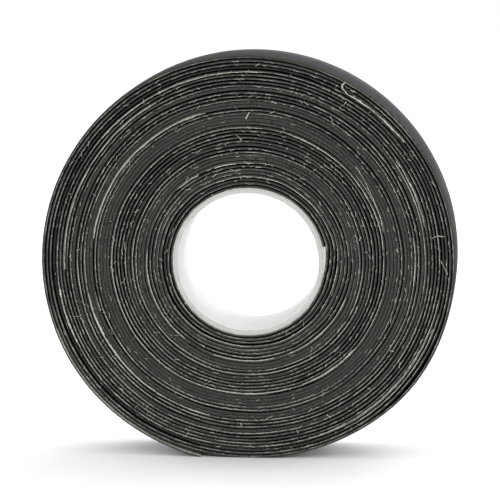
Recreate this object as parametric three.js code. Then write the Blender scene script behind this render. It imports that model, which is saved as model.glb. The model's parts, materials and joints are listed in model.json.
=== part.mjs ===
// Roll of dark rubber-coated cloth grip tape on a white paperboard core, standing on its edge.
//
// The frame: millimetres, +Z up, the roll's axis along Y, its front end towards -Y, +X to the
// right as seen from the front. The origin is the middle of the small flat that the roll stands
// on, straight below the core's axis. Angles are in degrees, counter-clockwise as seen from the
// front, from +X. The tape starts on the core at leadAngle and winds counter-clockwise.
import * as THREE from 'three';

// ---- driving dimensions ----
const boreDiameter = 38.1;
const innerPly = 0.35;
const bodyPly = 0.8;
const outerPly = 0.35;
const plyGap = 0.02;
const tapeWidth = 25;
const coreWidth = 25.4;
const lastOffset = 0.05;
const tapeThickness = 0.84;
const clothThickness = 0.32;
const tapePitch = 0.952;
const leadAngle = 12;
const woundTurns = 37;
const tipAngle = 255;
const hingeAngles = [204, 222, 240];

// ---- how far the roll is out of round ----
const ovalAtCore = 0.011;
const ovalAtRim = 0.003;
const footSag = 1.25;
const footSpread = 35;
const looseWrap = { from: 298, to: 352, height: 0.45 };
const tipLift = { from: 228, height: 0.5 };

// ---- facets and clearances ----
const facetAngle = 12;
const wrapGap = 0.04;
const hingeGap = 0.3;
const partingAngle = 0.3;
const laminateGap = 0.03;
const footAngle = 270;

// ---- the start of the winding: a wedge of paper that brings the second turn over the lead end ----
const wedgeAngle = 24;
const wedgeHeight = 0.84;
const laidTurns = 8;

const boreRadius = boreDiameter / 2;
const bodyPlyInner = boreRadius + innerPly + plyGap;
const outerPlyInner = bodyPlyInner + bodyPly + plyGap;
const coreRadius = outerPlyInner + outerPly;
const climbStart = 1 - wedgeAngle / 360;
const rimRadius = coreRadius + tapePitch * (woundTurns + 1);

// ---- colours ----
const boardWhite = new THREE.MeshStandardMaterial({ color: 0xd5d6d1, roughness: 0.85, metalness: 0 });
const linerWhite = new THREE.MeshStandardMaterial({ color: 0xf0f0ee, roughness: 0.7, metalness: 0 });
const slitEdge = new THREE.MeshStandardMaterial({ color: 0x3f423c, roughness: 0.8, metalness: 0 });
const coatBlack = new THREE.MeshStandardMaterial({ color: 0x2b2e2f, roughness: 0.55, metalness: 0 });
const clothCream = new THREE.MeshStandardMaterial({ color: 0xa8a898, roughness: 0.9, metalness: 0 });

const radians = (degrees) => THREE.MathUtils.degToRad(degrees);
const mix = THREE.MathUtils.lerp;
const clamp = THREE.MathUtils.clamp;

// Radius of a round layer once the roll has settled on its foot and gone slightly oval.
function settled(radius, angle) {
  const depth = clamp((radius - coreRadius) / (rimRadius - coreRadius), 0, 1);
  const oval = mix(ovalAtCore, ovalAtRim, depth) * Math.cos(radians(2 * angle));
  const fromFoot = THREE.MathUtils.euclideanModulo(angle - footAngle + 180, 360) - 180;
  const sag = footSag * depth * Math.exp(-((fromFoot / footSpread) ** 2));
  return radius * (1 + oval) - sag;
}

// Layers of tape under a point of the strip. The first turns lie on the core and climb over the
// blunt lead end, and further out that climb is spread over the whole turn.
function layersBelow(woundAngle) {
  const turns = (woundAngle - leadAngle) / 360;
  const whole = Math.floor(turns + 1e-9);
  const part = turns - whole;
  const laid = Math.max(0, (part - climbStart) / (1 - climbStart));
  return whole + mix(laid, part, clamp(whole / laidTurns, 0, 1));
}

// How far the last turn stands off the one below it, at the loose wrap and at the free tip.
function standOff(woundAngle) {
  const angle = woundAngle - 360 * woundTurns;
  const lastTurn = angle + 360;
  if (angle > tipLift.from) {
    return tipLift.height * ((angle - tipLift.from) / (tipAngle - tipLift.from)) ** 2;
  }
  if (lastTurn > looseWrap.from && lastTurn < looseWrap.to) {
    const along = (lastTurn - looseWrap.from) / (looseWrap.to - looseWrap.from);
    return looseWrap.height * Math.sin(Math.PI * along) ** 2;
  }
  return 0;
}

// A point of the strip, at a height above its inner face, in the plane across the axis.
function stripPoint(woundAngle, height) {
  const bare = coreRadius + wrapGap + tapePitch * layersBelow(woundAngle) + height;
  const radius = settled(bare, woundAngle) + standOff(woundAngle);
  return new THREE.Vector2(
    radius * Math.cos(radians(woundAngle)),
    radius * Math.sin(radians(woundAngle)),
  );
}

// The roll's underside is the flat facet of the last full turn, below the axis.
const footWound = 360 * (woundTurns - 1) + footAngle - facetAngle / 2;
const axisHeight = -stripPoint(footWound, tapeThickness).y;

// Stations along the strip: every facet angle, and the two ends.
function stations(from, to) {
  const angles = [from];
  const first = Math.floor(from / facetAngle) + 1;
  for (let i = first; i * facetAngle < to - 0.5; i += 1) {
    if (i * facetAngle > from + 0.5) {
      angles.push(i * facetAngle);
    }
  }
  angles.push(to);
  return angles;
}

// Keeps an outline above the surface that the roll stands on.
function aboveFloor(point) {
  return new THREE.Vector2(point.x, Math.max(point.y, -axisHeight));
}

// An outline in the plane across the axis, drawn out along the axis between two ends.
function addSolid(parent, name, outline, width, offset, material) {
  const geometry = new THREE.ExtrudeGeometry(outline, { depth: width, bevelEnabled: false });
  const mesh = new THREE.Mesh(geometry, material);
  mesh.name = name;
  mesh.rotation.x = Math.PI / 2;
  mesh.position.set(0, width / 2 + offset, 0);
  parent.add(mesh);
}

// One closed edge of a ply, once round from the lead end. A wedge rises towards that end.
function plyEdge(radius, wedge) {
  const points = [];
  const angles = stations(leadAngle, leadAngle + 360 - partingAngle);
  for (const angle of angles) {
    const risen = Math.max(0, 1 - (leadAngle + 360 - partingAngle - angle) / wedgeAngle);
    const bent = settled(radius, angle) + wedge * risen;
    points.push(new THREE.Vector2(bent * Math.cos(radians(angle)), bent * Math.sin(radians(angle))));
  }
  return points;
}

function plyOutline(innerRadius, outerRadius, wedge) {
  const outline = new THREE.Shape(plyEdge(outerRadius, wedge));
  outline.holes.push(new THREE.Path(plyEdge(innerRadius, 0)));
  return outline;
}

function stripOutline(from, to, low, high) {
  const angles = stations(from, to);
  const outer = angles.map((angle) => aboveFloor(stripPoint(angle, high)));
  const inner = angles.map((angle) => aboveFloor(stripPoint(angle, low)));
  return new THREE.Shape([...outer, ...inner.reverse()]);
}

// ---- the core: three plies of paperboard, glued one round the other ----
// Each ply has its name, inner radius, thickness, the height of its wedge, and its material.
const plies = [
  ['core_inner_ply', boreRadius, innerPly, 0, linerWhite],
  ['core_body_ply', bodyPlyInner, bodyPly, 0, boardWhite],
  ['core_outer_ply', outerPlyInner, outerPly, wedgeHeight, boardWhite],
];

function addCore(parent) {
  for (const [name, inner, thickness, wedge, material] of plies) {
    addSolid(parent, name, plyOutline(inner, inner + thickness, wedge), coreWidth, 0, material);
  }
}

// ---- the wound tape: one strip, parted where its edges change from flush to stepped ----
// Each stretch has its name, the turn where it ends, and how far its edges stand to the front.
const stretches = [
  ['tape_lead_end', 1, 0.1],
  ['tape_inner_smooth_ring', 2.5, 0.05],
  ['tape_inner_flecked_ring', 4.5, 0.25],
  ['tape_inner_stepped_ring', 6.5, 0.1],
  ['tape_thread_ring', 9, -0.1],
  ['tape_second_stepped_ring', 11, 0.2],
  ['tape_narrow_smooth_ring', 12.5, -0.05],
  ['tape_third_stepped_ring', 14.5, 0.25],
  ['tape_bright_line_ring', 17, 0.15],
  ['tape_wide_ring_inner', 19, -0.15],
  ['tape_wide_ring_outer', 21.5, -0.1],
  ['tape_cream_line_ring', 23, 0.2],
  ['tape_fourth_smooth_ring', 24.5, -0.05],
  ['tape_bright_stepped_ring', 27, 0.2],
  ['tape_dark_smooth_ring', 28.5, 0],
  ['tape_outer_stepped_ring', 30.5, 0.2],
  ['tape_outer_flecked_ring', 33, 0.1],
  ['tape_recessed_ring', 34.5, 0.35],
  ['tape_rim_turns', 36.5, 0],
];

function addWoundTape(parent) {
  let from = leadAngle;
  for (const [name, lastTurn, offset] of stretches) {
    const to = leadAngle + 360 * lastTurn;
    const outline = stripOutline(from, to - partingAngle, 0, tapeThickness);
    addSolid(parent, name, outline, tapeWidth, offset, slitEdge);
    from = to;
  }
  const hinge = 360 * woundTurns + hingeAngles[0];
  const gap = THREE.MathUtils.radToDeg(hingeGap / rimRadius) / 2;
  const outline = stripOutline(from, hinge - gap, 0, tapeThickness);
  addSolid(parent, 'tape_outermost_turn', outline, tapeWidth, lastOffset, coatBlack);
}

// ---- the free end: short lengths of rubber coat on cotton cloth, each on its own hinge ----
function addTail(parent) {
  const gap = THREE.MathUtils.radToDeg(hingeGap / rimRadius) / 2;
  const ends = [...hingeAngles, tipAngle + gap];
  for (let i = 0; i < hingeAngles.length; i += 1) {
    const from = 360 * woundTurns + ends[i] + gap;
    const to = 360 * woundTurns + ends[i + 1] - gap;
    const cloth = stripOutline(from, to, 0, clothThickness - laminateGap);
    const coat = stripOutline(from, to, clothThickness, tapeThickness);
    addSolid(parent, `tail_${i + 1}_cloth`, cloth, tapeWidth, lastOffset, clothCream);
    addSolid(parent, `tail_${i + 1}_coat`, coat, tapeWidth, lastOffset, coatBlack);
  }
}

const roll = new THREE.Group();
roll.position.z = axisHeight;
addCore(roll);
addWoundTape(roll);
addTail(roll);

export default roll;
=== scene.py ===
# %% [markdown]
# # A roll of cloth grip tape, standing on its edge
# The real thing is one long strip: off-white cotton cloth with a dark rubber coat on its outer
# side, slit to 25 mm and wound 37 times round a paperboard core. What is seen is mostly the slit
# edge of that strip. It could be painted as rings on a flat disc, but then the gaps wouldn't be deep
# from every side, so the edge of every turn is built as real geometry. The first cell loads the
# measured model.

# %% The frame
import json
import math

import bmesh
import bpy
import numpy as np
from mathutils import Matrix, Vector


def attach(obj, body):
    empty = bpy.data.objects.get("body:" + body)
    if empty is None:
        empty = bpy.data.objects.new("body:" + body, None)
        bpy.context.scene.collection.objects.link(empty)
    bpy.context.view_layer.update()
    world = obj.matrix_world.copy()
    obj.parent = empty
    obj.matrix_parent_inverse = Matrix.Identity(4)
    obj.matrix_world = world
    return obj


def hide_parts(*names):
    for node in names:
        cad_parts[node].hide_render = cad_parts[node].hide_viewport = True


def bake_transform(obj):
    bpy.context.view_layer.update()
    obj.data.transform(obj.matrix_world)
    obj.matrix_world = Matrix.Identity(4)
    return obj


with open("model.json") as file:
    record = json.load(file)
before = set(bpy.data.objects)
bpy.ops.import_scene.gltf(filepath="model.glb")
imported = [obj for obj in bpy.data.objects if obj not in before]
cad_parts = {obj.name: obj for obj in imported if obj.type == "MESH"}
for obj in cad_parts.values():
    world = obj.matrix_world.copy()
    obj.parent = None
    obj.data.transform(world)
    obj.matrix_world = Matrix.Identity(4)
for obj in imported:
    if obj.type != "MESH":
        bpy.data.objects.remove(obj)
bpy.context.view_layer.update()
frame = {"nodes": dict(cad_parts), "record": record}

print("nodes:", len(frame["nodes"]))

# %% [markdown]
# The same few numbers that size the measured model size the visible one. They are in millimetres
# and degrees, counter-clockwise from the right as seen from the front, and `MM` turns them into
# metres at the last moment.

# %% Driving dimensions
MM = 0.001
BORE_RADIUS = 19.05
PLY_WALLS = [0.35, 0.8, 0.35]
PLY_GAP = 0.02
CORE_WIDTH = 25.4
TAPE_WIDTH = 25.0
TAPE_THICKNESS = 0.84
CLOTH_THICKNESS = 0.32
TAPE_PITCH = 0.952
WRAP_GAP = 0.04
LEAD_ANGLE = 12
WOUND_TURNS = 37
TIP_ANGLE = 255
HINGE_ANGLES = [204, 222, 240]
FOOT_ANGLE = 270
FACET_ANGLE = 12
WEDGE_ANGLE = 24
WEDGE_HEIGHT = 0.84
LAID_TURNS = 8

CORE_RADIUS = BORE_RADIUS + sum(PLY_WALLS) + 2 * PLY_GAP
RIM_RADIUS = CORE_RADIUS + TAPE_PITCH * (WOUND_TURNS + 1)
print("core radius", round(CORE_RADIUS, 2), "mm, rim radius", round(RIM_RADIUS, 2), "mm")

# %% [markdown]
# A wound roll isn't a perfect disc. It goes slightly oval, sags on its foot, and each turn climbs
# by one thickness of tape. On the first turns that climb happens over the blunt lead end, and
# further out it is spread over the whole turn. The last turn stands off a little in one place, and
# so does the free tip. These rules are the measured model's own, on whole arrays of angles at once.
# A faint ripple is added, nearly the same for neighbouring turns, because lines that are too true
# look drawn. Each ripple has a height, a count of waves round the roll and a shift from turn to turn.

# %% The shape of the winding
OVAL_AT_CORE = 0.011
OVAL_AT_RIM = 0.003
FOOT_SAG = 1.25
FOOT_SPREAD = 35
LOOSE_FROM = 298
LOOSE_TO = 352
LOOSE_HEIGHT = 0.45
LIFT_FROM = 228
LIFT_HEIGHT = 0.5
RIPPLES = [(0.07, 5, 0.35), (0.045, 13, -0.5)]
RIPPLE_FADE = 3


def settled(radius, angle):
    depth = np.clip((radius - CORE_RADIUS) / (RIM_RADIUS - CORE_RADIUS), 0, 1)
    oval = (OVAL_AT_CORE + (OVAL_AT_RIM - OVAL_AT_CORE) * depth) * np.cos(np.radians(2 * angle))
    from_foot = (angle - FOOT_ANGLE + 180) % 360 - 180
    sag = FOOT_SAG * depth * np.exp(-((from_foot / FOOT_SPREAD) ** 2))
    return radius * (1 + oval) - sag


def layers_below(wound):
    turns = (wound - LEAD_ANGLE) / 360
    whole = np.floor(turns + 1e-9)
    part = turns - whole
    climb_start = 1 - WEDGE_ANGLE / 360
    laid = np.maximum(0, (part - climb_start) / (1 - climb_start))
    share = np.clip(whole / LAID_TURNS, 0, 1)
    return whole + laid + (part - laid) * share


def stand_off(wound):
    angle = wound - 360 * WOUND_TURNS
    tip = LIFT_HEIGHT * (np.maximum(0, angle - LIFT_FROM) / (TIP_ANGLE - LIFT_FROM)) ** 2
    along = np.clip((angle + 360 - LOOSE_FROM) / (LOOSE_TO - LOOSE_FROM), 0, 1)
    return tip + LOOSE_HEIGHT * np.sin(np.pi * along) ** 2


def ripple(wound, layer):
    angle = np.radians(wound)
    from_core = np.clip(layer / RIPPLE_FADE, 0, 1)
    from_rim = np.clip((WOUND_TURNS - 1 - layer) / RIPPLE_FADE, 0, 1)
    waves = [height * np.sin(count * angle + shift * layer) for height, count, shift in RIPPLES]
    return from_core * from_rim * sum(waves)


def strip_radius(wound, height=0.0):
    wound = np.asarray(wound, float)
    layer = layers_below(wound)
    bare = CORE_RADIUS + WRAP_GAP + TAPE_PITCH * layer + height
    return settled(bare, wound) + stand_off(wound) + ripple(wound, layer)


foot = 360 * (WOUND_TURNS - 1) + FOOT_ANGLE - FACET_ANGLE / 2
AXIS_HEIGHT = float(-strip_radius(foot, TAPE_THICKNESS) * math.sin(math.radians(foot)))
front_mount = next(mount for mount in frame["record"]["mounts"] if mount["name"] == "front_end")
print("axis height", round(AXIS_HEIGHT, 3), "mm; front mount", front_mount)


def place(wound, radius, y=0.0):
    angle = np.radians(wound)
    x = radius * np.cos(angle)
    z = radius * np.sin(angle) + AXIS_HEIGHT
    return np.stack([x, np.broadcast_to(y, x.shape), z], axis=-1) * MM


# %% [markdown]
# Node trees are easier to read as sums. They could be wired node by node, at four lines for each
# sum. `Num` wraps a socket instead, so that `a * 2 + b` in this script adds the Math nodes for it,
# both in Geometry Nodes and in materials.

# %% Sums in node trees
class Num:
    def __init__(self, socket):
        self.socket = socket

    def math(self, operation, *others):
        tree = self.socket.id_data
        made = tree.nodes.new("ShaderNodeMath")
        made.operation = operation
        for slot, value in zip(made.inputs, (self, *others)):
            feed(slot, value)
        return Num(made.outputs[0])

    def __add__(self, other):
        return self.math("ADD", other)

    def __sub__(self, other):
        return self.math("SUBTRACT", other)

    def __mul__(self, other):
        return self.math("MULTIPLY", other)

    def __truediv__(self, other):
        return self.math("DIVIDE", other)

    def __rsub__(self, other):
        return self * -1 + other

    __radd__ = __add__
    __rmul__ = __mul__

    def rise(self, low, high):
        made = self.socket.id_data.nodes.new("ShaderNodeMapRange")
        made.interpolation_type = "SMOOTHSTEP"
        feed(made.inputs["Value"], self)
        feed(made.inputs["From Min"], low)
        feed(made.inputs["From Max"], high)
        return Num(made.outputs["Result"])


def feed(slot, value):
    if isinstance(value, Num):
        slot.id_data.links.new(value.socket, slot)
    elif isinstance(value, bpy.types.NodeSocket):
        slot.id_data.links.new(value, slot)
    else:
        slot.default_value = value


def add_node(tree, kind, **settings):
    made = tree.nodes.new(kind)
    for name, value in settings.items():
        setattr(made, name, value)
    return made


def vector(tree, x, y, z):
    made = tree.nodes.new("ShaderNodeCombineXYZ")
    for slot, value in zip(made.inputs, (x, y, z)):
        feed(slot, value)
    return made.outputs[0]


def split(tree, source):
    made = tree.nodes.new("ShaderNodeSeparateXYZ")
    feed(made.inputs[0], source)
    return [Num(socket) for socket in made.outputs]


def noise(tree, where, scale=1.0, detail=1.0, roughness=0.5):
    made = tree.nodes.new("ShaderNodeTexNoise")
    feed(made.inputs["Vector"], where)
    made.inputs["Scale"].default_value = scale
    made.inputs["Detail"].default_value = detail
    made.inputs["Roughness"].default_value = roughness
    return Num(made.outputs[0])


# %% [markdown]
# Every band on this roll, from the tape to the plies of its core, is one section carried round one
# path. The path is a chain of points with a few facts written on each, such as how far its edges
# stand forward. The section is a small loop, with each of its points told twice: where it lies when
# the edge is pressed flush against the next turn, and where it lies when the edge stands open. A
# section may have points across its outer face too, which rise to a low crown in the middle.

# %% Paths and sections
LOOP_HALF_WIDTH = 0.01


def write_facts(mesh, facts):
    for name, values in facts.items():
        values = np.asarray(values, np.float32)
        kind = "FLOAT_VECTOR" if values.ndim == 2 else "FLOAT"
        written = mesh.attributes.new(name, kind, "POINT")
        written.data.foreach_set("vector" if values.ndim == 2 else "value", values.ravel())


def chain(name, points, facts, closed=False):
    mesh = bpy.data.meshes.new(name)
    count = len(points)
    edges = [(i, (i + 1) % count) for i in range(count if closed else count - 1)]
    mesh.from_pydata([tuple(p) for p in points], edges, [])
    write_facts(mesh, facts)
    made = bpy.data.objects.new(name, mesh)
    bpy.context.scene.collection.objects.link(made)
    return made


def section(name, corners, across=0, crown=0.0):
    """Each corner is (height flush, height open, inset flush, inset open, pressed), in mm."""
    front = [(-1, *corner) for corner in corners]
    back = [(1, *corner) for corner in reversed(corners)]
    top = corners[-1][0]
    wall = []
    for i in range(across):
        side = 2 * (i + 1) / (across + 1) - 1
        crest = top + crown * (1 - side ** 4)
        wall.append((side, crest, crest, 0, 0, 0))
    rows = np.array(front + wall + back, float)
    names = ["side", "height_flush", "height_open", "inset_flush", "inset_open", "pressed"]
    points = [(side * LOOP_HALF_WIDTH, height * MM, 0) for side, height in rows[:, :2]]
    return chain(name, points, {n: rows[:, i] for i, n in enumerate(names)}, closed=True)


# %% [markdown]
# The tree that carries a section round a path. A Curve modifier could bend a straight strip, but it
# can't change the section from turn to turn. Here Curve to Mesh makes the faces and caps the ends,
# and Set Position moves every point to its own radius and width from the facts it carries, with a
# little wander of the edge, because slit tape never winds up perfectly flush.

# %% The winding tree
def named_inputs(tree, inputs):
    for name, kind in inputs:
        tree.interface.new_socket(name, in_out="INPUT", socket_type="NodeSocket" + kind)
    tree.interface.new_socket("Geometry", in_out="OUTPUT", socket_type="NodeSocketGeometry")
    return tree.nodes.new("NodeGroupInput").outputs, tree.nodes.new("NodeGroupOutput").inputs


def fact(tree, name, kind="FLOAT"):
    made = add_node(tree, "GeometryNodeInputNamedAttribute", data_type=kind)
    made.inputs["Name"].default_value = name
    return made.outputs["Attribute"]


def link_chain(tree, geometry, nodes):
    for node in nodes:
        tree.links.new(geometry, node.inputs[0])
        geometry = node.outputs[0]
    return geometry


def keep_fact(tree, name, value):
    made = add_node(tree, "GeometryNodeStoreNamedAttribute", data_type="FLOAT", domain="POINT")
    made.inputs["Name"].default_value = name
    feed(made.inputs["Value"], value)
    return made


FINE_HEIGHT = 0.12


def build_winding_tree():
    tree = bpy.data.node_groups.new("wind a section round the core", "GeometryNodeTree")
    inputs = [("Path", "Geometry"), ("Section", "Object"), ("Width", "Float"), ("Axis height", "Float")]
    inputs += [("Edge wander", "Float"), ("Seed", "Float"), ("Finish", "Material")]
    given, result = named_inputs(tree, inputs)
    shape = add_node(tree, "GeometryNodeObjectInfo")
    feed(shape.inputs["Object"], given["Section"])
    loop = tree.nodes.new("GeometryNodeMeshToCurve")
    feed(loop.inputs[0], shape.outputs["Geometry"])
    spine_curve = tree.nodes.new("GeometryNodeMeshToCurve")
    sweep = tree.nodes.new("GeometryNodeCurveToMesh")
    feed(sweep.inputs["Profile Curve"], loop.outputs[0])
    sweep.inputs["Fill Caps"].default_value = True

    opened = Num(fact(tree, "open"))
    flush_height = Num(fact(tree, "height_flush"))
    flush_inset = Num(fact(tree, "inset_flush"))
    height = flush_height + (Num(fact(tree, "height_open")) - flush_height) * opened
    height = height + Num(fact(tree, "pressed")) * Num(fact(tree, "slack"))
    inset = flush_inset + (Num(fact(tree, "inset_open")) - flush_inset) * opened
    store_height = keep_fact(tree, "high", height)
    store_inset = keep_fact(tree, "inset", inset)

    x, y, z = split(tree, fact(tree, "spine", "FLOAT_VECTOR"))
    up = z - Num(given["Axis height"])
    reach = (x * x + up * up).math("SQRT")
    side = Num(fact(tree, "side"))
    along = Num(fact(tree, "along"))
    turn = Num(fact(tree, "turn"))
    fine = noise(tree, vector(tree, along * 500, turn * 11, side * 3), detail=2)
    rise = (height + (fine - 0.5) * FINE_HEIGHT) * MM / reach
    slow = noise(tree, vector(tree, along * 90, turn * 3.7, Num(given["Seed"])), detail=2)
    edge = (slow - 0.5) * Num(given["Edge wander"]) * 2
    half = Num(given["Width"]) * 0.5 - inset * MM
    across = side * half + edge * side.math("ABSOLUTE") - Num(fact(tree, "proud")) * MM
    settle = tree.nodes.new("GeometryNodeSetPosition")
    height_above_floor = (z + up * rise).math("MAXIMUM", 0.0)
    feed(settle.inputs["Position"], vector(tree, x + x * rise, across, height_above_floor))
    realize = tree.nodes.new("GeometryNodeRealizeInstances")
    finish = tree.nodes.new("GeometryNodeSetMaterial")
    feed(finish.inputs["Material"], given["Finish"])
    steps = [spine_curve, sweep, store_height, store_inset, settle, realize, finish]
    tree.links.new(link_chain(tree, given["Path"], steps), result["Geometry"])
    return tree


winding_tree = build_winding_tree()
print("winding tree:", len(winding_tree.nodes), "nodes")

# %% [markdown]
# A modifier is only a recipe. `grown` reads its result as a plain mesh, drops the recipe, turns
# the faces outwards if the sweep left them inside out, and smooths the shading except at corners.

# %% From recipe to plain mesh
def set_inputs(modifier, values):
    for item in modifier.node_group.interface.items_tree:
        if item.item_type == "SOCKET" and item.in_out == "INPUT" and item.name in values:
            modifier[item.identifier] = values[item.name]


def signed_volume(mesh):
    work = bmesh.new()
    work.from_mesh(mesh)
    volume = work.calc_volume(signed=True)
    work.free()
    return volume


def grown(name, base, tree, values, smooth=40):
    modifier = base.modifiers.new("recipe", "NODES")
    modifier.node_group = tree
    set_inputs(modifier, values)
    bpy.context.view_layer.update()
    graph = bpy.context.evaluated_depsgraph_get()
    evaluated = base.evaluated_get(graph)
    mesh = bpy.data.meshes.new_from_object(evaluated, preserve_all_data_layers=True, depsgraph=graph)
    bpy.data.objects.remove(base)
    if signed_volume(mesh) < 0:
        mesh.flip_normals()
    mesh.shade_smooth()
    mesh.set_sharp_from_angle(angle=math.radians(smooth))
    piece = bpy.data.objects.new(name, mesh)
    bpy.context.scene.collection.objects.link(piece)
    return piece


# %% [markdown]
# How the edge looks changes from turn to turn. Where the tape was wound tight the edges are pressed
# into one smooth grey band. Where it was wound loose they stand open, with a dark gap and the pale
# line of the cut cloth between them. Each row says how one run of turns looks: its last turn, how
# open its edges stand, how pale its cloth line is, and how far it stands forward, in millimetres.

# %% The bands of the slit edge
BANDS = [
    (1, 1.0, 0.58, 0.05),
    (2, 0.75, 0.62, 0.0),
    (3, 1.2, 0.50, 0.0),
    (4, 0.5, 0.80, 0.25),
    (5, 0.2, 0.50, 0.2),
    (6, 0.85, 0.60, 0.05),
    (7, 1.0, 0.60, 0.1),
    (8, 0.1, 0.50, -0.1),
    (9, 0.05, 0.24, -0.12),
    (10, 0.35, 0.35, -0.1),
    (11, 1.15, 0.72, 0.15),
    (12, 1.0, 0.75, 0.2),
    (13, 0.6, 0.35, -0.05),
    (17, 1.25, 0.54, 0.2),
    (18, 0.7, 1.0, 0.25),
    (21, 0.04, 0.20, -0.12),
    (22, 0.8, 0.55, 0.1),
    (23, 1.2, 0.65, 0.2),
    (24, 0.05, 0.22, -0.05),
    (25, 0.4, 0.30, -0.05),
    (26, 1.05, 0.7, 0.2),
    (27, 1.15, 0.6, 0.15),
    (28, 1.15, 0.72, 0.2),
    (29, 0.15, 0.20, -0.05),
    (30, 1.2, 0.72, 0.15),
    (33, 1.25, 0.54, 0.2),
    (34, 1.1, 0.75, 0.05),
    (35, 1.25, 0.3, -0.35),
    (37, 1.1, 0.6, 0.0),
    (39, 0.9, 0.6, 0.05),
]
OPEN, PALE, PROUD = 1, 2, 3
BLEND_FROM = 0.85


def band_fact(layer, column):
    ends = np.array([row[0] for row in BANDS])
    values = np.array([row[column] for row in BANDS])
    here = np.searchsorted(ends, np.floor(layer), side="right")
    later = np.searchsorted(ends, np.floor(layer) + 1, side="right")
    blend = np.clip((layer % 1 - BLEND_FROM) / (1 - BLEND_FROM), 0, 1)
    blend = blend * blend * (3 - 2 * blend)
    return values[here] + (values[np.minimum(later, len(BANDS) - 1)] - values[here]) * blend


# %% [markdown]
# Here and there the winding has marks of its own: a turn that slipped back and left a black gap, or
# a run where the cut thread of the cloth lies bright and cream on the edge. They are written as
# turn, first angle, last angle and strength, and fade out at both ends over a few degrees.

# %% Marks of this roll
SLIPPED = [
    (34, 64, 255, 0.55),
    (36, 278, 348, 0.5),
    (17, 277, 303, 0.7),
    (15, 290, 306, 0.5),
    (2, 12, 360, 0.15),
    (25, 40, 70, 0.3),
    (7, 231, 244, 0.5),
]
BRIGHT_RUNS = [
    (7, 176, 231, 1.0),
    (7, 250, 285, 1.0),
    (7, 294, 340, 1.0),
    (7, 97, 110, 0.8),
    (7, 120, 133, 0.8),
    (17, 48, 71, 0.9),
    (17, 257, 287, 1.0),
    (17, 292, 322, 1.0),
    (18, 14, 41, 0.7),
    (23, 106, 172, 1.0),
    (25, 192, 240, 1.0),
    (25, 248, 256, 1.0),
    (25, 354, 368, 0.7),
    (31, 120, 184, 0.65),
    (33, 87, 140, 0.45),
    (33, 190, 205, 1.0),
    (33, 289, 348, 0.5),
    (34, 300, 345, 0.55),
    (37, 192, 250, 0.35),
    (1, 198, 232, 0.7),
    (29, 12, 35, 0.8),
]
SLIP_FADE = 6
RUN_FADE = 3


def mark(wound, marks, fade):
    total = np.zeros_like(wound)
    for turn, first, last, strength in marks:
        start = wound - (360 * turn + first)
        end = (360 * turn + last) - wound
        total = np.maximum(total, strength * np.clip(np.minimum(start, end) / fade, 0, 1))
    return total


print("bands:", len(BANDS), " slipped:", len(SLIPPED), " bright runs:", len(BRIGHT_RUNS))

# %% [markdown]
# Now the path itself. On it go the band's numbers, a slow change along the turn, and one from the
# top of the roll to its foot, where its own weight closes the edges a little and more of the cloth
# line shows. The cloth line is also painted paler towards the foot and darker towards the top, as
# painted light and shade. `slack` says how much further than one pitch the next turn lies, so that
# the coat can reach it where the winding is loose.

# %% The path of the strip
MOST_OPEN = 1.3


def strip_path(name, first, last, step):
    length = math.radians(last - first) * float(strip_radius((first + last) / 2))
    wound = np.linspace(first, last, max(3, int(length / step)))
    layer = layers_below(wound)
    slow = np.sin(np.radians(wound) * 3.1 + layer * 1.9) * np.sin(np.radians(wound) * 1.3 + layer)
    slipped = mark(wound, SLIPPED, SLIP_FADE)
    upper = np.sin(np.radians(wound))
    opened = band_fact(layer, OPEN) * (1 + 0.25 * slow + 0.14 * upper)
    spine = place(wound, strip_radius(wound))
    facts = {
        "spine": spine,
        "open": np.clip(opened + slipped, 0, MOST_OPEN),
        "proud": band_fact(layer, PROUD) - slipped + 0.05 * slow,
        # Painted light and shade: the cloth line is made paler towards the foot and darker towards the
        # top.
        "pale": band_fact(layer, PALE) * (1 - 0.16 * upper),
        "cream": mark(wound, BRIGHT_RUNS, RUN_FADE),
        "along": np.radians(wound) * strip_radius(wound) * MM,
        "turn": layer,
        "slack": strip_radius(wound + 360) - strip_radius(wound) - TAPE_PITCH,
    }
    return chain(name, spine, facts)


first_turn = strip_radius([LEAD_ANGLE, LEAD_ANGLE + 360])
print("the strip starts at", round(first_turn[0], 2), "mm and climbs to", round(first_turn[1], 2), "mm")

# %% [markdown]
# ## Finishes
# A finish starts as a Principled shader with the values that are the same all over. What changes
# over the surface is worked out from the facts written on the strip, such as the height above its
# inner face and the distance along it, so a mark stays with the tape and not with the room.

# %% Helpers for finishes
def new_finish(name, **same_all_over):
    material = bpy.data.materials.new(name)
    material.use_nodes = True
    shader = material.node_tree.nodes["Principled BSDF"]
    for socket, value in same_all_over.items():
        shader.inputs[socket.replace("_", " ")].default_value = value
    return material, material.node_tree, shader


def read(tree, name):
    made = add_node(tree, "ShaderNodeAttribute", attribute_name=name)
    return Num(made.outputs["Fac"])


def mix_colours(tree, share, first, second):
    """A Mix node has a set of sockets for each kind of value. Its colours are 6, 7 and output 2."""
    made = add_node(tree, "ShaderNodeMix", data_type="RGBA")
    feed(made.inputs["Factor"], share)
    feed(made.inputs[6], first)
    feed(made.inputs[7], second)
    return made.outputs[2]


def bump(tree, shader, height, distance):
    made = tree.nodes.new("ShaderNodeBump")
    made.inputs["Strength"].default_value = 1.0
    made.inputs["Distance"].default_value = distance
    feed(made.inputs["Height"], height)
    feed(shader.inputs["Normal"], made.outputs[0])


def object_place(tree):
    return tree.nodes.new("ShaderNodeTexCoord").outputs["Object"]


# %% [markdown]
# **The slit edge.** A knife went through rubber and cloth together. The rubber is a dark grey-green
# with fine marks across it, left by the threads underneath. The cloth is a pale line on the inner
# side, broken into flecks where the threads are cut or frayed. Each line could be modelled thread by
# thread, but there are thousands, so noise that is stretched along the strip breaks up the line.

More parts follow.
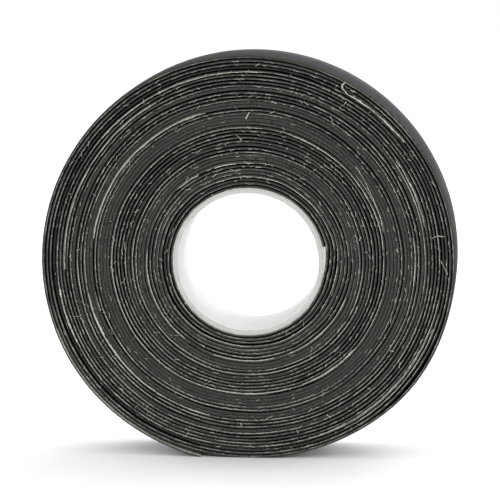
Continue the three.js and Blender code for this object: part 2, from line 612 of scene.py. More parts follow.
# %% Marks and cut cloth on the slit edge
RUBBER = (0.072, 0.076, 0.064, 1)
RUBBER_DARK = (0.014, 0.015, 0.012, 1)
# Painted shade: near black, for the set-back walls in the gaps between turns.
PAINTED_CREVICE_SHADE = (0.001, 0.001, 0.001, 1)
CLOTH_GREY = (0.09, 0.094, 0.088, 1)
CLOTH_PALE = (0.325, 0.33, 0.31, 1)
CREAM = (0.62, 0.62, 0.55, 1)
WEAVE_PITCH = 0.0004


def weave_marks(tree, along, turn, high):
    """Fine marks across the rubber, one for each thread underneath."""
    uneven = noise(tree, vector(tree, along * 700, turn * 1.7, high * 0.9), detail=1)
    phase = along * (2 * math.pi / WEAVE_PITCH) + uneven * 9 + turn * 2
    return phase.math("SINE") * 0.5 + 0.5


def cut_cloth(tree, along, turn, high, inset):
    """The line of cut cloth: how much of it shows, and its colour."""
    threads = noise(tree, vector(tree, along * 420, turn * 5.1, high * 2), detail=3, roughness=0.6)
    ends = noise(tree, vector(tree, along * 1700, turn * 3.3, 4.0), detail=1)
    runs = noise(tree, vector(tree, along * 34, turn * 7.7, 1.0), detail=1).rise(0.32, 0.66)
    cream = read(tree, "cream")
    pale = read(tree, "pale") * (runs * 0.6 + 0.55)
    ragged = high + (threads - 0.5) * 0.3
    line = high.rise(-0.01, 0.05) * (1 - ragged.rise(0.21, 0.31)) * (1 - inset.rise(0.3, 0.45))
    pale_share = (threads + pale * 0.45 - 0.32).rise(0.25, 0.6)
    fleck = (threads + pale * 0.16).rise(0.60, 0.70) * ends.rise(0.35, 0.5)
    bright = (fleck * pale.rise(0.2, 0.7) * 0.85).math("MAXIMUM", cream * (threads * 0.5 + 0.72))
    colour = mix_colours(tree, pale_share, CLOTH_GREY, CLOTH_PALE)
    colour = mix_colours(tree, bright.math("MINIMUM", 1.0), colour, CREAM)
    shown = line * (pale * 1.1 + 0.12).math("MINIMUM", 1.0).math("MAXIMUM", cream)
    return shown, colour


# %% [markdown]
# ** The outer face of the coat** is the same rubber, nearly black and dull, with faint streaks across
# the strip. A grey painted sheen lies on it and grows towards the back edge, standing in for the light
# that the satin face reflects there. It could be a material of its own, but then a hard line would run
# along the corner. Here one shader works out where the outer face is: `side` is -1 and 1 on the two
# slit edges and less between them, and at the corner the height above the strip's inner face says
# where the coat turns.

# %% Rubber-coated cloth
COAT = (0.017, 0.019, 0.021, 1)
COAT_DARK = (0.007, 0.008, 0.010, 1)
# Painted sheen: the lighter grey laid over the back of the outer face.
COAT_PAINTED_SHEEN = (0.082, 0.087, 0.093, 1)


def outer_coat(tree, streaks, where):
    coat = mix_colours(tree, streaks.rise(0.3, 0.7), COAT_DARK, COAT)
    across = split(tree, where)[1] / (TAPE_WIDTH * MM)
    # Painted sheen: lighter towards the back edge of the outer face, where its satin reflects the light.
    painted_sheen = (across + (streaks - 0.5) * 0.3).rise(-0.15, 0.5)
    return mix_colours(tree, painted_sheen, coat, COAT_PAINTED_SHEEN)


def make_tape_finish():
    material, tree, shader = new_finish("rubber_coated_cloth", Specular_IOR_Level=0.2)
    where = object_place(tree)
    along = read(tree, "along")
    turn = read(tree, "turn")
    high = read(tree, "high") / TAPE_THICKNESS
    inset = read(tree, "inset")
    streaks = noise(tree, vector(tree, along * 160, turn * 2.3, high * 2.2), detail=3)
    hatch = weave_marks(tree, along, turn, high)
    grain = noise(tree, where, scale=5000, detail=2)
    shade = streaks * 0.6 + hatch * 0.44 + grain * 0.3
    rubber = mix_colours(tree, shade.rise(0.25, 1.08), RUBBER_DARK, RUBBER)
    shown, cloth = cut_cloth(tree, along, turn, high, inset)
    slit_edge = mix_colours(tree, shown, rubber, cloth)

    between_edges = 1 - read(tree, "side").math("ABSOLUTE").rise(0.97, 0.995)
    shoulder = high.rise(0.83, 0.86) * (1 - high.rise(1.04, 1.06)) * inset.rise(0.5, 0.2)
    outer_face = shoulder.math("MAXIMUM", between_edges)
    surface = mix_colours(tree, outer_face, slit_edge, outer_coat(tree, streaks, where))
    # Painted shade: the slit edge turns near black where it stands back into the gap before the next
    # turn.
    deep = inset.rise(0.45, 0.9) * (1 - between_edges)
    feed(shader.inputs["Base Color"], mix_colours(tree, deep, surface, PAINTED_CREVICE_SHADE))
    feed(shader.inputs["Roughness"], 0.78 + grain * 0.1)
    relief = streaks * 0.3 + hatch * (0.3 - outer_face * 0.2) + grain * 0.3
    bump(tree, shader, relief, 0.00006)
    return material


tape_finish = make_tape_finish()
print(tape_finish.name, len(tape_finish.node_tree.nodes), "nodes")

# %% [markdown]
# **Bare cloth and loose threads.** The inner face of the free end shows the cotton itself, a plain
# weave of off-white threads, soft with adhesive. The same cotton makes the threads that hang out of
# the slit edges. The weave is far too fine to model, so two crossed waves in the bump stand for it.

# %% Cotton
COTTON_PITCH = 0.0006


def make_cotton(name, dark, pale):
    material, tree, shader = new_finish(name, Roughness=0.9, Specular_IOR_Level=0.2)
    where = object_place(tree)
    x, y, z = split(tree, where)
    fuzz = noise(tree, where, scale=1500, detail=3)
    patches = noise(tree, where, scale=120, detail=2)
    share = fuzz * 0.6 + patches * 0.6
    feed(shader.inputs["Base Color"], mix_colours(tree, share.rise(0.35, 0.85), dark, pale))
    warp = (y * 2 * math.pi / COTTON_PITCH).math("SINE")
    weft = ((x + z) * 2 * math.pi / COTTON_PITCH).math("SINE")
    bump(tree, shader, warp * weft * 0.5 + fuzz, 0.00008)
    return material


cotton_finish = make_cotton("cotton_cloth", (0.20, 0.20, 0.18, 1), (0.44, 0.44, 0.39, 1))
thread_finish = make_cotton("cotton_thread", (0.30, 0.30, 0.27, 1), (0.68, 0.68, 0.61, 1))

# %% [markdown]
# **Paperboard.** The core is grey-white board, wound in plies and cut square, so its end face shows
# pressed fibres and a faint line where one ply meets the next. The bore is lined with smooth white
# paper, whose butt seam runs round it as a long spiral. The seam is worked out from the angle round
# the axis and the distance along it, so it needs no geometry of its own.

# %% Board and liner
SEAM = (0.42, 0.41, 0.38, 1)
SEAM_PITCH = 0.05
BOARD_COLOURS = (0.49, 0.50, 0.475, 1), (0.58, 0.59, 0.565, 1)
LINER_COLOURS = (0.65, 0.65, 0.645, 1), (0.73, 0.73, 0.72, 1)


def make_board(name, dark, pale, roughness, seam_depth):
    material, tree, shader = new_finish(name, Specular_IOR_Level=0.25)
    where = object_place(tree)
    x, y, z = split(tree, where)
    fibres = noise(tree, where, scale=1400, detail=4, roughness=0.65)
    mottle = noise(tree, where, scale=160, detail=2)
    share = (fibres * 0.55 + mottle * 0.55).rise(0.3, 0.8)
    up = z - AXIS_HEIGHT * MM
    around = up.math("ARCTAN2", x) / (2 * math.pi)
    spiral = (around + y / SEAM_PITCH + 2.0).math("FRACT")
    seam = 1 - (spiral - 0.5).math("ABSOLUTE").rise(0.0, 0.006)
    tint = mix_colours(tree, share, dark, pale)
    feed(shader.inputs["Base Color"], mix_colours(tree, seam * seam_depth, tint, SEAM))
    feed(shader.inputs["Roughness"], roughness + fibres * 0.1)
    bump(tree, shader, fibres - seam * seam_depth * 2, 0.00004)
    return material


board_finish = make_board("paperboard", *BOARD_COLOURS, roughness=0.8, seam_depth=0.0)
liner_finish = make_board("white_liner_paper", *LINER_COLOURS, roughness=0.6, seam_depth=0.3)
print(board_finish.name, "and", liner_finish.name)

# %% [markdown]
# ## The core
# Three plies, one inside the other. A plain tube would do for two of them, but the outer ply carries
# a wedge that rises over the last 24 degrees and lifts the second turn of tape over the blunt start
# of the first. So each ply is a rounded rectangle swept once round from the lead end by the winding
# tree, and the wedge is simply the open height of its section.

# %% Core plies
PLY_ROUNDING = 0.08
PLY_SWEEP = 359.9
PLY_STATIONS = 241
PLY_WANDER = 0.05 * MM


def ply_section(name, wall, wedge):
    low = PLY_ROUNDING
    high = wall - PLY_ROUNDING
    corners = [(0, 0, PLY_ROUNDING, PLY_ROUNDING, 0), (low, low, 0, 0, 0)]
    corners += [(high, high + wedge, 0, 0, 0), (wall, wall + wedge, PLY_ROUNDING, PLY_ROUNDING, 0)]
    return section(name, corners)


def make_ply(name, inner, wall, wedge, finish):
    wound = np.linspace(LEAD_ANGLE, LEAD_ANGLE + PLY_SWEEP, PLY_STATIONS)
    risen = np.maximum(0, 1 - (LEAD_ANGLE + 360 - wound) / WEDGE_ANGLE)
    spine = place(wound, settled(inner + 0 * wound, wound))
    still = 0 * wound
    facts = {"spine": spine, "open": risen if wedge else still, "proud": still, "turn": still + inner}
    facts["along"] = np.radians(wound) * inner * MM
    shape = ply_section(name + "_section", wall, wedge)
    inputs = {"Section": shape, "Width": CORE_WIDTH * MM, "Axis height": AXIS_HEIGHT * MM}
    inputs |= {"Edge wander": PLY_WANDER, "Seed": inner, "Finish": finish}
    piece = grown(name + "_rolled", chain(name + "_path", spine, facts), winding_tree, inputs)
    bpy.data.objects.remove(shape)
    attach(piece, "root")
    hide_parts(name)
    return piece


inner = BORE_RADIUS
ply_rows = [
    ("core_inner_ply", 0.0, liner_finish, "liner_paper"),
    ("core_body_ply", 0.0, board_finish, "core_paper"),
    ("core_outer_ply", WEDGE_HEIGHT, board_finish, "core_paper"),
]
for (name, wedge, finish, slot), wall in zip(ply_rows, PLY_WALLS):
    piece = make_ply(name, inner, wall, wedge, finish)
    inner += wall + PLY_GAP
    print(name, len(piece.data.polygons), "faces")

# %% [markdown]
# ## The wound tape
# The section of the strip, from the inner face outwards: the cloth bulges slightly where the knife
# left it, and the coat steps back behind it. On an open edge the coat's outer corner falls away, and
# that is where the dark gap before the next turn comes from, with painted shade in the finish making
# its set-back walls near black. The last corner reaches the next turn, deep inside, so that no light
# gets through the roll. A bevelled ring for each turn would be simpler, but it would be the same all
# the way round.

# %% The strip's section
STRIP_CORNERS = [
    (-0.03, -0.03, 3.00, 3.00, 0),
    (-0.02, -0.03, 0.50, 1.60, 0),
    (0.02, 0.02, 0.05, 0.10, 0),
    (0.09, 0.09, 0.00, 0.00, 0),
    (0.24, 0.24, 0.02, 0.05, 0),
    (0.29, 0.28, 0.04, 0.20, 0),
    (0.78, 0.54, 0.04, 0.20, 0),
    (0.90, 0.57, 0.06, 1.20, 0),
    (0.92, 0.78, 0.50, 2.20, 0),
    (0.93, 0.93, 3.00, 3.00, 1),
]
strip_section = section("strip_section", STRIP_CORNERS)
print("section points:", len(strip_section.data.vertices))

# %% [markdown]
# The strip is one piece on the real roll, and one long sweep could make it. Here it is parted into
# the same stretches as the measured model, each a run of turns of one look, so that every stretch
# can stand for its own solid. The cuts don't show, because the path and its facts run on across them.

# %% Wound stretches
STRETCHES = [
    ("tape_lead_end", 1),
    ("tape_inner_smooth_ring", 2.5),
    ("tape_inner_flecked_ring", 4.5),
    ("tape_inner_stepped_ring", 6.5),
    ("tape_thread_ring", 9),
    ("tape_second_stepped_ring", 11),
    ("tape_narrow_smooth_ring", 12.5),
    ("tape_third_stepped_ring", 14.5),
    ("tape_bright_line_ring", 17),
    ("tape_wide_ring_inner", 19),
    ("tape_wide_ring_outer", 21.5),
    ("tape_cream_line_ring", 23),
    ("tape_fourth_smooth_ring", 24.5),
    ("tape_bright_stepped_ring", 27),
    ("tape_dark_smooth_ring", 28.5),
    ("tape_outer_stepped_ring", 30.5),
    ("tape_outer_flecked_ring", 33),
    ("tape_recessed_ring", 34.5),
    ("tape_rim_turns", 36.5),
]
PATH_STEP = 0.7
PARTING = 0.02
EDGE_WANDER = 0.22 * MM
WANDER_SEED = 3.0


def wind(name, shape, first, last, finish, step=PATH_STEP):
    path = strip_path(name + "_path", first, last, step)
    inputs = {"Section": shape, "Width": TAPE_WIDTH * MM, "Axis height": AXIS_HEIGHT * MM}
    inputs |= {"Edge wander": EDGE_WANDER, "Seed": WANDER_SEED, "Finish": finish}
    return grown(name, path, winding_tree, inputs)


start = LEAD_ANGLE
for name, last_turn in STRETCHES:
    end = LEAD_ANGLE + 360 * last_turn
    piece = wind(name + "_wound", strip_section, start, end - PARTING, tape_finish)
    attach(piece, "root")
    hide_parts(name)
    print(name, len(piece.data.polygons), "faces")
    start = end

# %% [markdown]
# The outermost turn shows its whole outer face. Its section ends in a rounded shoulder instead of a
# pressed corner, and has points across the face that rise to a low crown, so that the light runs
# softly over it. It stops a few degrees before the first hinge, where the free end takes over.

# %% The outermost turn
RIM_CORNERS = [(0.66, 0.62, 0.06, 0.28, 0), (0.72, 0.72, 0.24, 0.50, 0)]
CROWN = 0.24
ACROSS = 9
PEEL_START = 200
rim_section = section("rim_section", STRIP_CORNERS[:-4] + RIM_CORNERS, ACROSS, CROWN)
peel_wound = 360 * WOUND_TURNS + PEEL_START
piece = wind("tape_outermost_turn_wound", rim_section, start, peel_wound, tape_finish)
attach(piece, "root")
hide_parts("tape_outermost_turn")
print("outermost turn", len(piece.data.polygons), "faces")

# %% [markdown]
# ## The free end
# The last 51 degrees of the strip are the free end, which can peel off the real roll. Rubber coat
# and cloth are made as two layers, so that the cloth shows its weave when the end is lifted. Each
# layer is cut half way between two hinges, into pieces with one hinge in the middle of each.
# `BENDS` gives the millimetres before and after each hinge, where stiff lengths meeting at the hinge
# would gape as they turn, and `bend_ends` finds those two points, but the pieces are not blended or
# bent across them here. The first bend is the shortest, because the tape before it is stuck down.

# %% Peeling layers
COAT_CORNERS = [
    (CLOTH_THICKNESS, CLOTH_THICKNESS, 0.12, 0.12, 0),
    (0.36, 0.36, 0.06, 0.06, 0),
    (0.60, 0.60, 0.06, 0.06, 0),
    (0.72, 0.72, 0.24, 0.24, 0),
]
CLOTH_CORNERS = [
    (0.00, 0.00, 0.06, 0.06, 0),
    (0.05, 0.05, 0.00, 0.00, 0),
    (0.24, 0.24, 0.00, 0.00, 0),
    (0.31, 0.31, 0.06, 0.06, 0),
]
BENDS = [(-2.5, 3.5), (-7.5, 7.5), (-7.5, 7.5)]
TIP_REACH = 1.5
PEEL_STEP = 0.4
cuts = [PEEL_START]
cuts += [(a + b) / 2 for a, b in zip(HINGE_ANGLES, HINGE_ANGLES[1:])]
cuts.append(TIP_ANGLE + TIP_REACH)


def bend_ends(hinge, bend):
    wound = 360 * WOUND_TURNS + hinge
    at = Vector(place(np.array([wound]), strip_radius([wound], TAPE_THICKNESS))[0])
    lean = math.radians(hinge)
    onwards = Vector((-math.sin(lean), 0, math.cos(lean)))
    return at + onwards * bend[0] * MM, at + onwards * bend[1] * MM


layer_rows = [
    ("coat", section("coat_section", COAT_CORNERS, ACROSS, CROWN), tape_finish, "tape_coat"),
    ("cloth", section("cloth_section", CLOTH_CORNERS, ACROSS), cotton_finish, "cotton_cloth"),
]
for layer_name, shape, finish, slot in layer_rows:
    for i, hinge in enumerate(HINGE_ANGLES):
        first = 360 * WOUND_TURNS + cuts[i]
        last = 360 * WOUND_TURNS + cuts[i + 1]
        piece = wind(f"tail_{i + 1}_{layer_name}_peel", shape, first, last, finish, step=PEEL_STEP)
        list(bend_ends(hinge, BENDS[i]))
        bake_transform(piece)
        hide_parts(f"tail_{i + 1}_{layer_name}")
        print(piece.name, len(piece.data.polygons), "faces")

# %% [markdown]
# ## Threads
# Cut weft threads stick out of the slit edges all over the roll, as short curled bits that lie along
# the turns, and now and then one stands across them. Hair could make them, but it would leave the
# piece without a mesh. Instances on points suit them: the recipe puts one small bent fibre on a
# random share of the points along the edge, turned and sized at random from a fixed seed.

# %% The fibre tree
SWAY = 0.0003


def random_between(tree, low, high, seed):
    made = add_node(tree, "FunctionNodeRandomValue", data_type="FLOAT")
    feed(made.inputs["Seed"], seed)
    for name, value in (("Min", low), ("Max", high)):
        feed(next(slot for slot in made.inputs if slot.name == name and slot.enabled), value)
    return Num(next(slot for slot in made.outputs if slot.enabled))


def build_fibre_tree():
    tree = bpy.data.node_groups.new("lay cut fibres along an edge", "GeometryNodeTree")
    inputs = [("Edge", "Geometry"), ("Share", "Float"), ("Length", "Float"), ("Thickness", "Float")]
    inputs += [("Tilt", "Float"), ("Seed", "Int"), ("Finish", "Material")]
    given, result = named_inputs(tree, inputs)
    seed = Num(given["Seed"])

    bow = tree.nodes.new("GeometryNodeCurveQuadraticBezier")
    bow.inputs["Resolution"].default_value = 4
    bow.inputs["Start"].default_value = (-0.5, 0, 0)
    bow.inputs["Middle"].default_value = (0.1, -0.06, 0.12)
    bow.inputs["End"].default_value = (0.5, 0, 0)
    ring = tree.nodes.new("GeometryNodeCurvePrimitiveCircle")
    ring.inputs["Resolution"].default_value = 4
    feed(ring.inputs["Radius"], Num(given["Thickness"]) * 0.5 / Num(given["Length"]))
    fibre = tree.nodes.new("GeometryNodeCurveToMesh")
    feed(fibre.inputs["Curve"], bow.outputs[0])
    feed(fibre.inputs["Profile Curve"], ring.outputs[0])
    fibre.inputs["Fill Caps"].default_value = True

    chance = random_between(tree, 0.0, 1.0, seed)
    chosen = chance.math("LESS_THAN", Num(fact(tree, "fray")) * Num(given["Share"]))
    aim = add_node(tree, "FunctionNodeAlignRotationToVector", axis="X")
    feed(aim.inputs["Vector"], fact(tree, "tangent", "FLOAT_VECTOR"))
    tilt = random_between(tree, -1.0, 1.0, seed + 1)
    lean = tree.nodes.new("FunctionNodeAxisAngleToRotation")
    lean.inputs["Axis"].default_value = (0, 1, 0)
    feed(lean.inputs["Angle"], tilt * tilt * tilt * Num(given["Tilt"]))
    turned = tree.nodes.new("FunctionNodeRotateRotation")
    feed(turned.inputs[0], aim.outputs[0])
    feed(turned.inputs[1], lean.outputs[0])
    length = random_between(tree, 0.35, 1.3, seed + 2) * Num(given["Length"])
    girth = random_between(tree, 0.7, 1.3, seed + 3) * Num(given["Length"])
    put = tree.nodes.new("GeometryNodeInstanceOnPoints")
    feed(put.inputs["Selection"], chosen)
    feed(put.inputs["Instance"], fibre.outputs[0])
    feed(put.inputs["Rotation"], turned.outputs[0])
    feed(put.inputs["Scale"], vector(tree, length, girth, girth))
    realize = tree.nodes.new("GeometryNodeRealizeInstances")
    curl = add_node(tree, "ShaderNodeTexNoise")
    curl.inputs["Scale"].default_value = 900
    shift = add_node(tree, "ShaderNodeVectorMath", operation="MULTIPLY_ADD")
    feed(shift.inputs[0], curl.outputs["Color"])
    shift.inputs[1].default_value = (SWAY, SWAY / 3, SWAY)
    shift.inputs[2].default_value = (-SWAY / 2, -SWAY / 6, -SWAY / 2)
    settle = tree.nodes.new("GeometryNodeSetPosition")
    feed(settle.inputs["Offset"], shift.outputs[0])
    finish = tree.nodes.new("GeometryNodeSetMaterial")
    feed(finish.inputs["Material"], given["Finish"])
    tree.links.new(link_chain(tree, given["Edge"], [put, realize, settle, finish]), result["Geometry"])
    return tree


fibre_tree = build_fibre_tree()
print("fibre tree:", len(fibre_tree.nodes), "nodes")

# %% [markdown]
# The points that the fibres grow from run along the middle of the cut cloth, turn after turn. The
# paler a band's cloth line is, the more it is frayed. Each row below gives one set of fibres: its
# side, the step between points, the share of points that carry one, the length and thickness in
# millimetres, how far they may turn out of line, and a seed. Each side has one set that lies along
# the strip, and a sparser one that points every way.

# %% Fibres along the edges
FRAYED_TURNS = (0.1, 36.4)
FIBRE_LIFT = 0.02
CLOTH_MIDDLE = 0.15


def edge_line(name, side, step):
    first, last = (LEAD_ANGLE + 360 * turn for turn in FRAYED_TURNS)
    wound = [first]
    while wound[-1] < last:
        wound.append(wound[-1] + math.degrees(step / float(strip_radius(wound[-1]))))
    wound = np.array(wound)
    layer = layers_below(wound)
    proud = band_fact(layer, PROUD) - mark(wound, SLIPPED, SLIP_FADE)
    y = side * (TAPE_WIDTH / 2 + FIBRE_LIFT) - proud
    angle = np.radians(wound)
    tangent = np.stack([-np.sin(angle), 0 * angle, np.cos(angle)], axis=-1)
    facts = {"tangent": tangent, "fray": band_fact(layer, PALE) ** 2}
    return chain(name, place(wound, strip_radius(wound, CLOTH_MIDDLE), y), facts)


fibre_rows = [
    ("front_edge_fibres", -1, 0.7, 0.40, 1.3, 0.11, 0.6, 11),
    ("front_cross_fibres", -1, 1.0, 0.10, 0.9, 0.12, 6.0, 23),
    ("back_edge_fibres", 1, 0.7, 0.40, 1.3, 0.11, 0.6, 37),
    ("back_cross_fibres", 1, 1.0, 0.10, 0.9, 0.12, 6.0, 53),
]
for name, side, step, share, length, thickness, tilt, seed in fibre_rows:
    line = edge_line(name + "_line", side, step)
    inputs = {"Share": share, "Length": length * MM, "Thickness": thickness * MM, "Tilt": tilt}
    inputs |= {"Seed": seed, "Finish": thread_finish}
    piece = grown(name, line, fibre_tree, inputs, smooth=70)
    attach(piece, "root")
    print(name, len(piece.data.polygons), "faces")

# %% [markdown]
# Longer threads are too particular for chance. Each is written as a width in millimetres and a few
# points, every one a layer counted from the core and an angle. Some lie along a bright run of the
# cloth, others have come loose and lie across the turns.

# %% Long threads
THREADS = [
    (0.28, [(7.0, 176), (7.05, 231)]),
    (0.28, [(7.0, 250), (7.05, 285)]),
    (0.30, [(7.0, 294), (7.1, 340)]),
    (0.22, [(6.95, 97), (6.95, 110)]),
    (0.22, [(6.95, 120), (7.0, 133)]),
    (0.27, [(17.05, 48), (17.0, 71)]),
    (0.32, [(17.0, 257), (17.05, 287)]),
    (0.27, [(17.0, 294), (17.0, 320)]),
    (0.22, [(19.8, 42), (19.2, 36), (18.6, 30), (18.4, 22), (18.0, 13)]),
    (0.25, [(22.9, 106), (22.95, 140), (22.9, 172)]),
    (0.24, [(23.0, 192), (23.0, 199)]),
    (0.36, [(25.05, 192), (25.0, 215), (25.05, 240)]),
    (0.34, [(25.1, 248), (25.05, 256)]),
    (0.27, [(25.05, 354), (25.1, 369)]),
    (0.24, [(29.85, 12), (29.9, 35)]),
    (0.24, [(30.95, 120), (30.9, 150), (30.95, 183)]),
    (0.24, [(33.05, 87), (33.0, 140)]),
    (0.55, [(33.1, 189), (33.2, 197), (33.05, 206)]),
    (0.20, [(32.9, 289), (32.85, 315), (32.95, 348)]),
    (0.18, [(34.05, 300), (34.0, 345)]),
    (0.50, [(34.9, 38), (34.8, 44), (34.8, 52), (34.6, 59.8), (35.3, 61.9), (36.2, 62.3), (37.3, 61.8)]),
    (0.38, [(36.0, 59.6), (36.3, 58.4)]),
    (0.24, [(34.0, 368), (32.0, 368.6), (30.3, 368)]),
    (0.22, [(34.6, 357), (32.5, 361)]),
    (0.38, [(21.6, 89.5), (20.8, 90.3), (19.7, 91)]),
    (0.24, [(13.4, 93), (14.5, 94.2), (15.0, 95.4)]),
    (0.22, [(29.3, 286), (30.6, 286.4)]),
    (0.24, [(28.0, 297.2), (29.4, 297.8)]),
    (0.22, [(27.9, 313.6), (29.1, 314.2)]),
    (0.22, [(26.0, 267.2), (27.1, 267.8)]),
    (0.22, [(25.4, 328.3), (26.6, 328.8)]),
]
print("long threads:", len(THREADS))

# %% [markdown]
# The same kind of line, a layer and an angle, also serves for the many short strays, which come from
# a random source with a fixed seed. The lines become one chain of points, a little in front of the
# slit edge, with the thread's thickness written on each point. It swells and thins as spun cotton
# does.

# %% Lines for the threads
STRAY_TICKS = 70
THREAD_STEP = 0.35
THREAD_LIFT = 0.12
MIDDLE_RADIUS = 40


def thread_radius(layer, angle):
    climbed = layer + (angle - LEAD_ANGLE) / 360
    return settled(CORE_RADIUS + WRAP_GAP + TAPE_PITCH * climbed, angle)


def stray_threads(seed):
    """Short threads across the turns, in random places from a fixed seed."""
    draw = np.random.RandomState(seed)
    found = []
    for _ in range(STRAY_TICKS):
        layer = draw.uniform(1, 35.5)
        angle = draw.uniform(14, 350)
        across = draw.uniform(-1.0, 1.0)
        lean = draw.normal(0, 60) / (layer + 20)
        found.append((draw.uniform(0.1, 0.17), [(layer, angle), (layer + across, angle + lean)]))
    return found


def thread_lines(name, threads, side):
    points, edges, thick = [], [], []
    for width, route in threads:
        route = np.array(route, float)
        outwards = np.diff(route[:, 0]) * TAPE_PITCH
        around = np.radians(np.diff(route[:, 1])) * MIDDLE_RADIUS
        run = np.concatenate([[0], np.cumsum(np.hypot(outwards, around))])
        steps = np.linspace(0, run[-1], max(4, int(run[-1] / THREAD_STEP)))
        layer = np.interp(steps, run, route[:, 0])
        angle = np.interp(steps, run, route[:, 1])
        lift = TAPE_WIDTH / 2 + THREAD_LIFT + 0.08 * np.sin(steps * 1.7)
        start = len(points)
        points += list(place(angle, thread_radius(layer, angle), side * lift))
        uneven = 0.25 * np.sin(steps * 0.9 + layer) + 0.18 * np.sin(steps * 3.7 + 2 * layer)
        thick += list(width * (0.78 + uneven))
        edges += [(i, i + 1) for i in range(start, len(points) - 1)]
    mesh = bpy.data.meshes.new(name)
    mesh.from_pydata([tuple(p) for p in points], edges, [])
    write_facts(mesh, {"thick": thick})
    made = bpy.data.objects.new(name, mesh)
    bpy.context.scene.collection.objects.link(made)
    return made


# %% [markdown]
# The recipe for the threads themselves: Curve to Mesh carries a small ring along each line, scaled
# by the thickness on its points, and noise bends the result so that no thread is quite straight.

# %% The thread tree
def build_thread_tree():
    tree = bpy.data.node_groups.new("spin a thread along a line", "GeometryNodeTree")
    inputs = [("Line", "Geometry"), ("Curl", "Float"), ("Sides", "Int"), ("Finish", "Material")]
    given, result = named_inputs(tree, inputs)
    curve = tree.nodes.new("GeometryNodeMeshToCurve")
    ring = tree.nodes.new("GeometryNodeCurvePrimitiveCircle")
    feed(ring.inputs["Resolution"], given["Sides"])
    ring.inputs["Radius"].default_value = 1.0
    spun = tree.nodes.new("GeometryNodeCurveToMesh")
    feed(spun.inputs["Profile Curve"], ring.outputs[0])
    feed(spun.inputs["Scale"], Num(fact(tree, "thick")) * 0.5 * MM)
    spun.inputs["Fill Caps"].default_value = True
    curl = add_node(tree, "ShaderNodeTexNoise")
    curl.inputs["Scale"].default_value = 500
    centred = add_node(tree, "ShaderNodeVectorMath", operation="SUBTRACT")
    feed(centred.inputs[0], curl.outputs["Color"])
    centred.inputs[1].default_value = (0.5,) * 3
    scaled = add_node(tree, "ShaderNodeVectorMath", operation="SCALE")
    feed(scaled.inputs[0], centred.outputs[0])
    feed(scaled.inputs["Scale"], given["Curl"])
    settle = tree.nodes.new("GeometryNodeSetPosition")
    feed(settle.inputs["Offset"], scaled.outputs[0])
    realize = tree.nodes.new("GeometryNodeRealizeInstances")
    finish = tree.nodes.new("GeometryNodeSetMaterial")
    feed(finish.inputs["Material"], given["Finish"])
    steps = [curve, spun, settle, realize, finish]
    tree.links.new(link_chain(tree, given["Line"], steps), result["Geometry"])
    return tree


thread_tree = build_thread_tree()
for name, threads, side in [
    ("front_loose_threads", THREADS + stray_threads(5), -1),
    ("back_loose_threads", stray_threads(8) + stray_threads(9), 1),
]:
    inputs = {"Curl": 0.35 * MM, "Sides": 5, "Finish": thread_finish}
    piece = grown(name, thread_lines(name + "_line", threads, side), thread_tree, inputs, smooth=75)
    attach(piece, "root")
    print(name, len(piece.data.polygons), "faces")

# %% [markdown]
# ## Floor, light and camera
# A wide pale floor. One flat face is enough, if it is large enough that its edge is lost in the
# white of the surroundings.

# %% Floor
def make_floor():
    mesh = bpy.data.meshes.new("studio_floor")
    mesh.from_pydata([(-4, -3, 0), (4, -3, 0), (4, 8, 0), (-4, 8, 0)], [], [(0, 1, 2, 3)])
    floor = bpy.data.objects.new("studio_floor", mesh)
    bpy.context.scene.collection.objects.link(floor)
    material, _, shader = new_finish("pale_floor", Roughness=0.7, Specular_IOR_Level=0.2)
    shader.inputs["Base Color"].default_value = (0.95, 0.95, 0.95, 1)
    mesh.materials.append(material)
    print("floor:", [round(side, 1) for side in floor.dimensions], "m")


make_floor()

# %% [markdown]
# The roll is dark and the paper in it is white, so the light is set for the paper and the dark edges
# keep their depth. White surroundings light everything evenly. On their own they would leave the
# roll flat, so four large soft lamps help: the strongest stands behind and above, which draws the
# shadow forward under the roll, and weaker ones stand left, right and in front.

# %% Light
scene = bpy.context.scene
scene.view_settings.view_transform = "Standard"
world = bpy.data.worlds.new("studio")
world.use_nodes = True
world.node_tree.nodes["Background"].inputs["Color"].default_value = (1, 1, 1, 1)
world.node_tree.nodes["Background"].inputs["Strength"].default_value = 1.06
scene.world = world

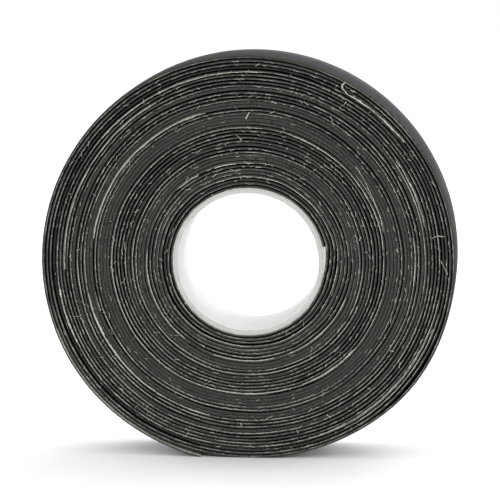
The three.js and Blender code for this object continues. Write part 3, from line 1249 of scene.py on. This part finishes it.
# Each lamp has its name, its place, the height it points at, its size in metres and its power in watts.
LAMPS = [
    ("back_softbox", (0.45, 0.9, 0.8), 0.05, 0.9, 4.5),
    ("left_softbox", (-0.9, 0.3, 0.4), 0.03, 0.6, 2.8),
    ("right_softbox", (0.9, 0.3, 0.4), 0.03, 0.6, 3.6),
    ("front_softbox", (0.7, -0.9, 0.35), 0.03, 0.8, 0.9),
]


def add_lamp(name, stands_at, aim_height, size, power):
    lamp = bpy.data.lights.new(name, "AREA")
    lamp.shape = "DISK"
    lamp.size = size
    lamp.energy = power
    holder = bpy.data.objects.new(name, lamp)
    holder.location = stands_at
    beam = Vector((0, 0, aim_height)) - Vector(stands_at)
    holder.rotation_euler = beam.to_track_quat("-Z", "Y").to_euler()
    scene.collection.objects.link(holder)
    print(name, power, "W")


for lamp_row in LAMPS:
    add_lamp(*lamp_row)

# %% [markdown]
# A long lens from a little to the right and a little above, as for a catalogue picture. It keeps the
# face of the roll round, and the outer face shows as a narrow band along the top.

# %% Camera
LENS = 219.5
DISTANCE = 0.835
AZIMUTH = math.radians(5.05)
ELEVATION = math.radians(7.8)
SENSOR_WIDTH = 36
AIM_RIGHT = 0.5
AIM_ABOVE_AXIS = 3.3
aim = Vector((AIM_RIGHT, -CORE_WIDTH / 2, AXIS_HEIGHT + AIM_ABOVE_AXIS)) * MM
level = Vector((math.sin(AZIMUTH), -math.cos(AZIMUTH), 0)) * math.cos(ELEVATION)
away = level + Vector((0, 0, math.sin(ELEVATION)))
camera_data = bpy.data.cameras.new("camera")
camera_data.lens = LENS
camera_data.sensor_width = SENSOR_WIDTH
camera = bpy.data.objects.new("camera", camera_data)
camera.location = aim + away * DISTANCE
camera.rotation_euler = (-away).to_track_quat("-Z", "Y").to_euler()
scene.collection.objects.link(camera)
scene.camera = camera
print("camera at", [round(value, 3) for value in camera.location], "m")

# %% [markdown]
# The sections have done their work and go, because they aren't pieces of the roll.

# %% Removing the sections
for shape in [strip_section, rim_section, *(row[1] for row in layer_rows)]:
    bpy.data.objects.remove(shape)
